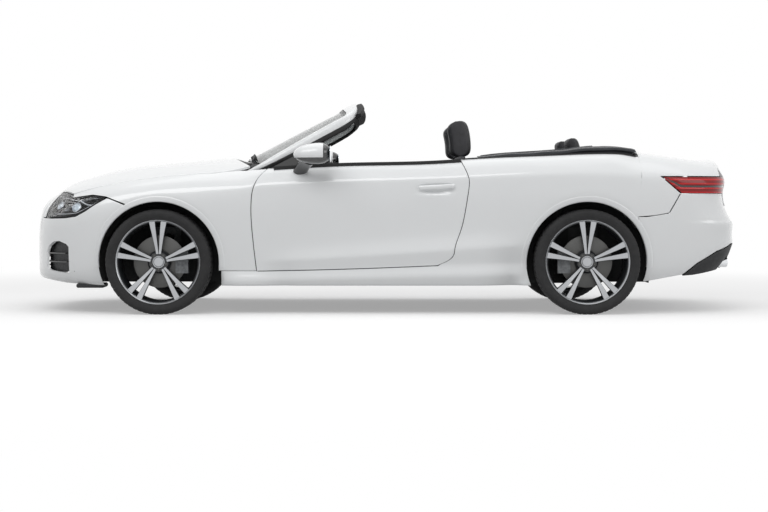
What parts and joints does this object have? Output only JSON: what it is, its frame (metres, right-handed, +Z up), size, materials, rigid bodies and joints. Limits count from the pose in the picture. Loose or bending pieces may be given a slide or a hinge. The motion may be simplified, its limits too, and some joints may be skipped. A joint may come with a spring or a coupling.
{
  "type": "convertible car",
  "caption": "Two-door, four-seat convertible car with its soft top folded, and doors, bonnet, boot lid, wheels and steering that move.",
  "frame": {"origin": "on the ground below the middle of the car's length, on its centre plane", "axes": "+X towards the tail, +Y towards the car's right side, +Z up"},
  "size_m": [4.6971, 2.26, 1.4095],
  "materials": {
    "body_paint": "gloss",
    "gloss_black": "gloss",
    "dark_plastic": "matte",
    "leather": "satin",
    "soft_top": "matte",
    "tyre": "matte",
    "alloy": "satin",
    "steel": "satin",
    "chrome": "gloss",
    "glass": "gloss",
    "clear_lens": "gloss",
    "red_lens": "gloss"
  },
  "bodies": {
    "body_shell": {"floor_pan": "dark_plastic", "front_bumper": "body_paint", "rear_bumper": "body_paint", "rear_diffuser": "dark_plastic", "fender_left": "body_paint", "fender_right": "body_paint", "quarter_left": "body_paint", "quarter_right": "body_paint", "windscreen_frame": "body_paint", "windscreen_glass": "glass", "cowl": "dark_plastic", "dashboard": "dark_plastic", "centre_console": "dark_plastic", "front_seat_left": "leather", "front_seat_right": "leather", "rear_seat": "leather", "tonneau_cover": "soft_top", "headlamp_left": "clear_lens", "headlamp_right": "clear_lens", "tail_lamp_left": "red_lens", "tail_lamp_right": "red_lens", "grille": "gloss_black", "engine_block": "steel", "front_subframe": "steel", "rear_axle": "steel", "exhaust": "chrome"},
    "bonnet_body": {"bonnet": "body_paint"},
    "boot_lid_body": {"boot_lid": "body_paint"},
    "door_left_body": {"door_left": "body_paint", "mirror_left": "body_paint"},
    "door_right_body": {"door_right": "body_paint", "mirror_right": "body_paint"},
    "steering_wheel_body": {"steering_wheel": "leather"},
    "knuckle_left_body": {"knuckle_left": "steel"},
    "knuckle_right_body": {"knuckle_right": "steel"},
    "wheel_front_left": {"tyre_front_left": "tyre", "rim_front_left": "alloy"},
    "wheel_front_right": {"tyre_front_right": "tyre", "rim_front_right": "alloy"},
    "wheel_rear_left": {"tyre_rear_left": "tyre", "rim_rear_left": "alloy"},
    "wheel_rear_right": {"tyre_rear_right": "tyre", "rim_rear_right": "alloy"}
  },
  "joints": [
    {"name": "door_left_hinge", "type": "hinge", "parent": "body_shell", "child": "door_left_body", "pos_m": [-0.715, -0.862, 0.6], "axis": [0, 0, -1], "range_deg": [0, 65]},
    {"name": "door_right_hinge", "type": "hinge", "parent": "body_shell", "child": "door_right_body", "pos_m": [-0.715, 0.862, 0.6], "axis": [0, 0, 1], "range_deg": [0, 65]},
    {"name": "bonnet_hinge", "type": "hinge", "parent": "body_shell", "child": "bonnet_body", "pos_m": [-0.892, 0, 0.958], "axis": [0, 1, 0], "range_deg": [0, 55]},
    {"name": "boot_lid_hinge", "type": "hinge", "parent": "body_shell", "child": "boot_lid_body", "pos_m": [1.685, 0, 1.075], "axis": [0, -1, 0], "range_deg": [0, 75]},
    {"name": "steer_left", "type": "hinge", "parent": "body_shell", "child": "knuckle_left_body", "pos_m": [-1.462, -0.74, 0.34007], "axis": [0, 0, 1], "range_deg": [-33, 33]},
    {"name": "steer_right", "type": "hinge", "parent": "body_shell", "child": "knuckle_right_body", "pos_m": [-1.462, 0.74, 0.34007], "axis": [0, 0, 1], "range_deg": [-33, 33]},
    {"name": "steering_wheel_turn", "type": "hinge", "parent": "body_shell", "child": "steering_wheel_body", "pos_m": [-0.33, -0.37, 0.905], "axis": [0.9135, 0, 0.4067], "range_deg": [-465, 465]},
    {"name": "front_left_wheel_spin", "type": "hinge", "parent": "knuckle_left_body", "child": "wheel_front_left", "pos_m": [-1.462, -0.79, 0.34007], "axis": [0, 1, 0], "continuous": true},
    {"name": "front_right_wheel_spin", "type": "hinge", "parent": "knuckle_right_body", "child": "wheel_front_right", "pos_m": [-1.462, 0.79, 0.34007], "axis": [0, 1, 0], "continuous": true},
    {"name": "rear_left_wheel_spin", "type": "hinge", "parent": "body_shell", "child": "wheel_rear_left", "pos_m": [1.318, -0.79, 0.34007], "axis": [0, 1, 0], "continuous": true},
    {"name": "rear_right_wheel_spin", "type": "hinge", "parent": "body_shell", "child": "wheel_rear_right", "pos_m": [1.318, 0.79, 0.34007], "axis": [0, 1, 0], "continuous": true}
  ],
  "couplings": [
    {"joint": "steer_right", "follows": "steer_left", "ratio": 1},
    {"joint": "steering_wheel_turn", "follows": "steer_left", "ratio": 14}
  ]
}
